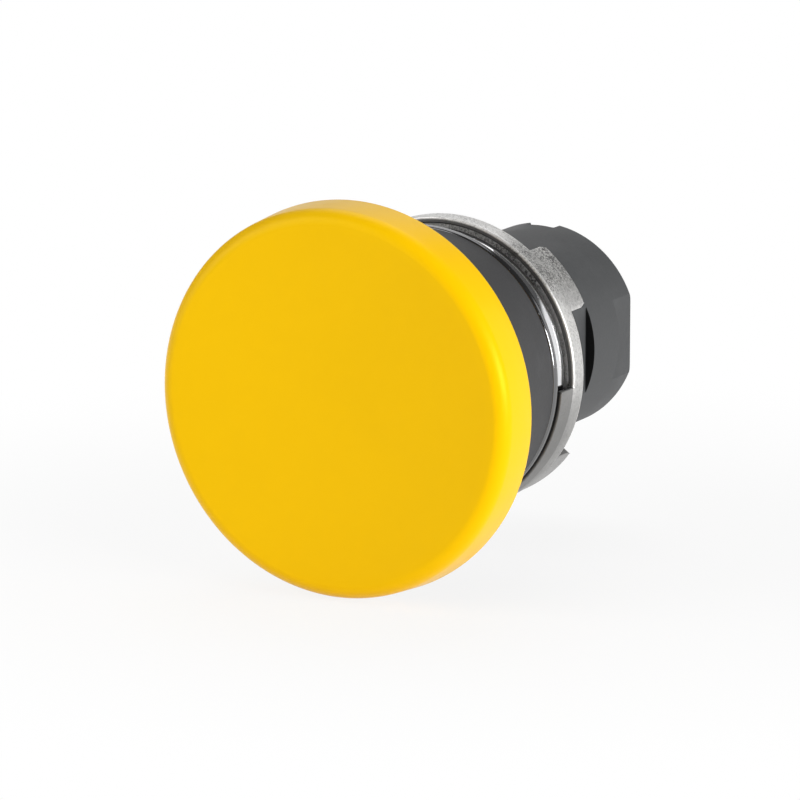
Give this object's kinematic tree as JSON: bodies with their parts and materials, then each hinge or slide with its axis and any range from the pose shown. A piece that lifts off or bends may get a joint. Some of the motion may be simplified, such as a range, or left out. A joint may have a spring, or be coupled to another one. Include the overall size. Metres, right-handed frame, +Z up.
{
  "type": "pushbutton switch",
  "caption": "Panel-mount pushbutton head with a broad dished mushroom cap, a plated bezel in a cast ring and a spring-return plunger.",
  "frame": {"origin": "centre of the 22 mm panel hole, in the plane of the panel's front face, where the feet of the cast ring and the gasket bear", "axes": "+Y along the button's axis, from the cap to the rear end of the body, which is the way the cap is pressed; +Z up, through the notch in the rear rim"},
  "size_m": [0.04, 0.0465, 0.04],
  "materials": {
    "cap_yellow": "satin moulded yellow",
    "dark_grey_plastic": "fine matt moulded dark grey",
    "body_grey_plastic": "matt moulded dark grey",
    "natural_plastic": "natural acetal, off-white",
    "bright_plating": "polished plating",
    "cast_zinc": "tumbled zinc casting, light grey and grainy",
    "spring_steel": "oiled spring steel",
    "zinc_plated_steel": "bright zinc plate",
    "black_rubber": "matt black"
  },
  "bodies": {
    "housing": {"guide_collar": "dark_grey_plastic", "plunger_seal": "black_rubber", "seal_retainer": "dark_grey_plastic", "collar_gasket": "black_rubber", "bezel_ring": "bright_plating", "carrier_ring": "cast_zinc", "lock_ring": "spring_steel", "panel_gasket": "black_rubber", "rear_body": "body_grey_plastic", "guide_bush": "natural_plastic", "spring_cup": "natural_plastic", "bumper_washer": "black_rubber", "return_spring": "spring_steel"},
    "plunger": {"mushroom_cap": "cap_yellow", "cap_clip": "spring_steel", "plunger_head": "dark_grey_plastic", "stem_screw": "zinc_plated_steel", "stem": "natural_plastic", "actuator_plate": "natural_plastic", "stop_ring": "spring_steel", "spring_seat": "zinc_plated_steel"}
  },
  "joints": [
    {"name": "button_slide", "type": "slide", "parent": "housing", "child": "plunger", "axis": [0, 1, 0], "range_m": [0, 0.0045], "stiffness_N_per_m": 1000, "springref_m": -0.004, "deforming": ["return_spring"]}
  ]
}
